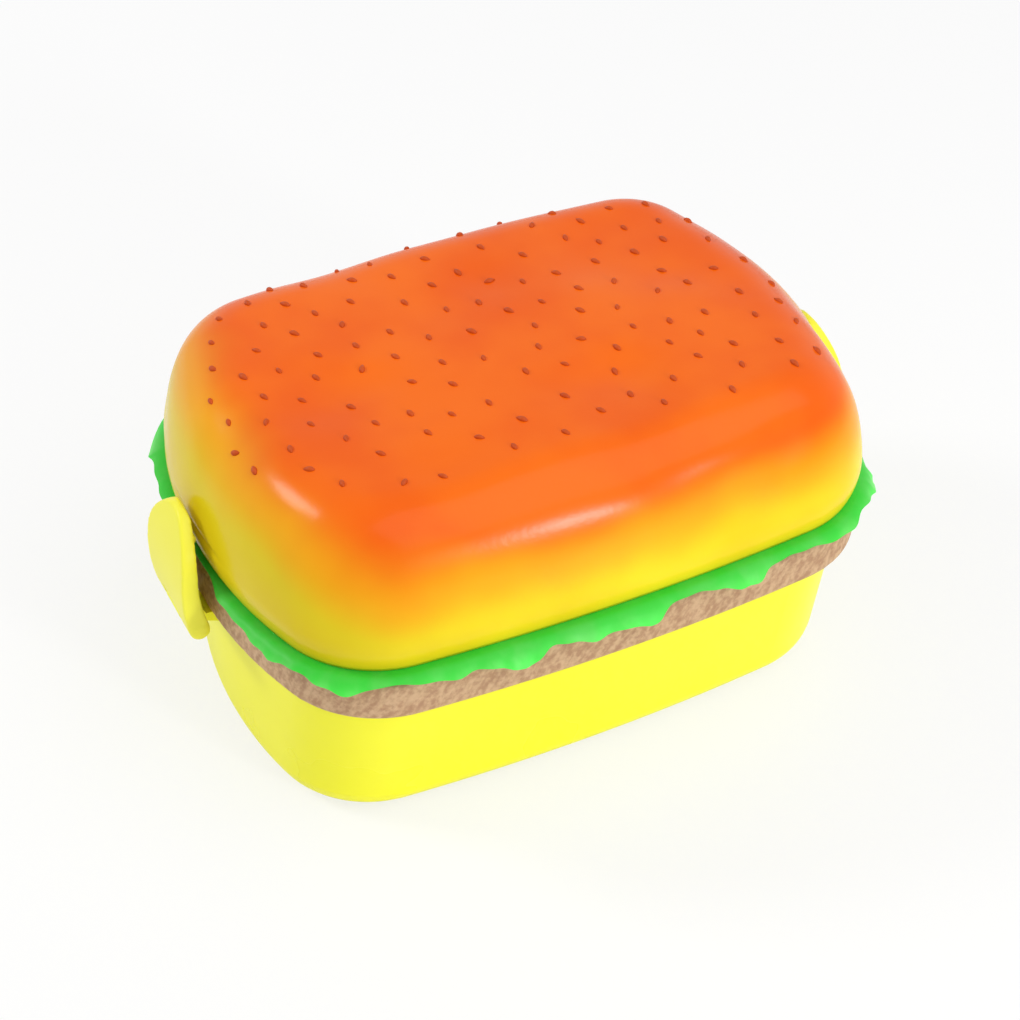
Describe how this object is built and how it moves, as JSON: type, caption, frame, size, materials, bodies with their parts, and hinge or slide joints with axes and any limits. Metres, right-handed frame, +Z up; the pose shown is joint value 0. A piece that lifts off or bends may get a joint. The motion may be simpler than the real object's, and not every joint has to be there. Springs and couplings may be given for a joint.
{
  "type": "burger-shaped lunch box",
  "caption": "Lunch box shaped like a burger: yellow lower box, brown nesting tray, green wavy sealing plate and domed seeded bun lid, held shut by hinged end clips.",
  "frame": {"origin": "middle of the box on the surface it stands on", "axes": "+X along the length towards the right clip, +Y to the back, +Z up"},
  "size_m": [0.1836, 0.134, 0.096],
  "materials": {
    "box_yellow": "bright yellow moulded plastic",
    "clip_yellow": "pale yellow moulded plastic",
    "pin_steel": "plain steel rod",
    "divider_cream": "cream moulded plastic",
    "patty_brown": "tan brown plastic with a fine grain",
    "seal_clear": "milky silicone",
    "lettuce_green": "bright green plastic",
    "bun_orange": "orange crown fading to yellow sides",
    "seed_brown": "raised reddish brown seeds",
    "cutlery_yellow": "warm yellow moulded plastic"
  },
  "bodies": {
    "lower_box": {"lower_box": "box_yellow", "left_hinge_pin": "pin_steel", "right_hinge_pin": "pin_steel"},
    "left_clip": {"left_clip": "clip_yellow"},
    "right_clip": {"right_clip": "clip_yellow"},
    "box_divider": {"box_divider": "divider_cream"},
    "patty_tray": {"patty_tray": "patty_brown", "tray_seal": "seal_clear"},
    "lettuce_plate": {"lettuce_plate": "lettuce_green", "plate_seal": "seal_clear"},
    "bun_lid": {"bun_lid": "bun_orange", "sesame_seeds": "seed_brown"},
    "spoon": {"spoon": "cutlery_yellow"},
    "fork": {"fork": "cutlery_yellow"}
  },
  "joints": [
    {"name": "left_clip_hinge", "type": "hinge", "parent": "lower_box", "child": "left_clip", "pos_m": [-0.0882, 0, 0.0452], "axis": [0, -1, 0], "range_deg": [0, 130]},
    {"name": "right_clip_hinge", "type": "hinge", "parent": "lower_box", "child": "right_clip", "pos_m": [0.0882, 0, 0.0452], "axis": [0, 1, 0], "range_deg": [0, 130]},
    {"name": "divider_slide", "type": "slide", "parent": "lower_box", "child": "box_divider", "axis": [1, 0, 0], "range_m": [-0.02, 0.02]},
    {"name": "tray_lift", "type": "slide", "parent": "lower_box", "child": "patty_tray", "axis": [0, 0, 1], "range_m": [0, 0.06]},
    {"name": "plate_lift", "type": "slide", "parent": "patty_tray", "child": "lettuce_plate", "axis": [0, 0, 1], "range_m": [0, 0.04]},
    {"name": "lid_lift", "type": "slide", "parent": "lettuce_plate", "child": "bun_lid", "axis": [0, 0, 1], "range_m": [0, 0.06]},
    {"name": "spoon_lift", "type": "slide", "parent": "lettuce_plate", "child": "spoon", "axis": [0, 0, 1], "range_m": [0, 0.012]},
    {"name": "fork_lift", "type": "slide", "parent": "lettuce_plate", "child": "fork", "axis": [0, 0, 1], "range_m": [0, 0.012]}
  ]
}
